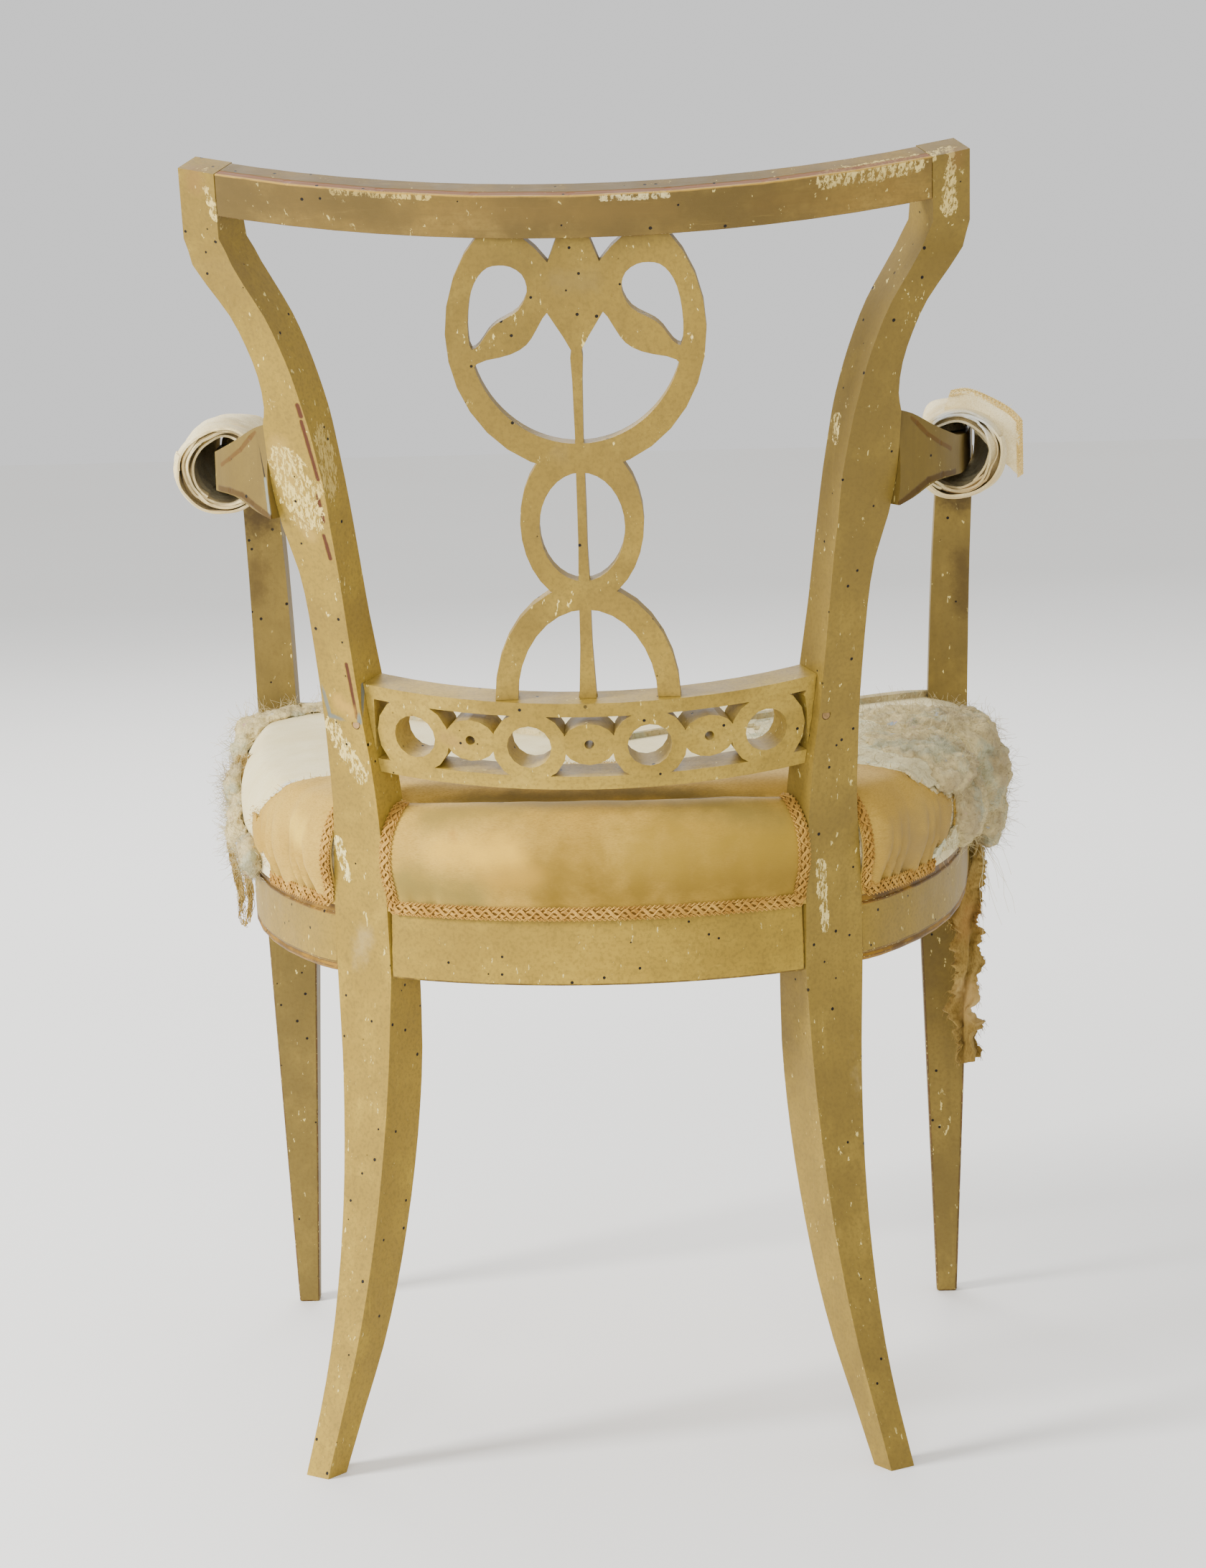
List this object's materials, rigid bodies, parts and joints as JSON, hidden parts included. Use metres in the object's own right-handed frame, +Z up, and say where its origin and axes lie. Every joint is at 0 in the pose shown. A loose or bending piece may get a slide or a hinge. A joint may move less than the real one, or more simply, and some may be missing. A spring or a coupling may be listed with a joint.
{
  "type": "open armchair",
  "caption": "Open armchair with raked bowed back, pierced splat and cross rail, stuffed seat and wrapped arms.",
  "frame": {"origin": "on the mirror plane at the floor, halfway from front to back", "axes": "+Z up, the sitter faces -Y, +X to the sitter's left"},
  "size_m": [0.5683, 0.5594, 0.8823],
  "materials": {
    "painted_frame": "aged cream paint over wood, worn and flaked",
    "plain_wood": "unpainted wood",
    "cover_cloth": "fine ribbed top cover, stained yellow",
    "calico_cloth": "plain calico",
    "wadding_flock": "grey and cream flock wadding",
    "gimp_braid": "scrolled golden tan braid",
    "jute_webbing": "woven jute webbing",
    "hessian_cloth": "coarse hessian",
    "cotton_wrap": "cream cotton twill",
    "torn_cloth": "frayed golden cloth"
  },
  "bodies": {
    "root": {"rear_leg_left": "painted_frame", "rear_leg_right": "painted_frame", "crest_rail": "painted_frame", "cross_rail": "painted_frame", "splat": "painted_frame", "cross_peg_left": "plain_wood", "cross_peg_right": "plain_wood", "rear_rail": "painted_frame", "side_rail_left": "painted_frame", "side_rail_right": "painted_frame", "front_rail": "painted_frame", "front_leg_left": "painted_frame", "front_leg_right": "painted_frame", "arm_post_left": "painted_frame", "arm_post_right": "painted_frame", "arm_left": "painted_frame", "arm_right": "painted_frame", "rear_brace_left": "plain_wood", "rear_brace_right": "plain_wood", "front_brace_left": "plain_wood", "front_brace_right": "plain_wood", "webbing_across_1": "jute_webbing", "webbing_across_2": "jute_webbing", "webbing_across_3": "jute_webbing", "webbing_down_1": "jute_webbing", "webbing_down_2": "jute_webbing", "webbing_down_3": "jute_webbing", "hessian": "hessian_cloth", "seat_stuffing": "wadding_flock", "calico": "calico_cloth", "seat_cover": "cover_cloth", "gimp_rear": "gimp_braid", "gimp_side_left": "gimp_braid", "gimp_side_right": "gimp_braid", "wadding_right": "wadding_flock", "wadding_left": "wadding_flock", "torn_strip_right": "torn_cloth", "frayed_strip_left": "torn_cloth", "arm_pad_left": "calico_cloth", "arm_pad_right": "calico_cloth", "arm_wrap_left": "cotton_wrap", "arm_wrap_right": "cotton_wrap", "wrap_tail_right": "cotton_wrap"}
  },
  "joints": []
}
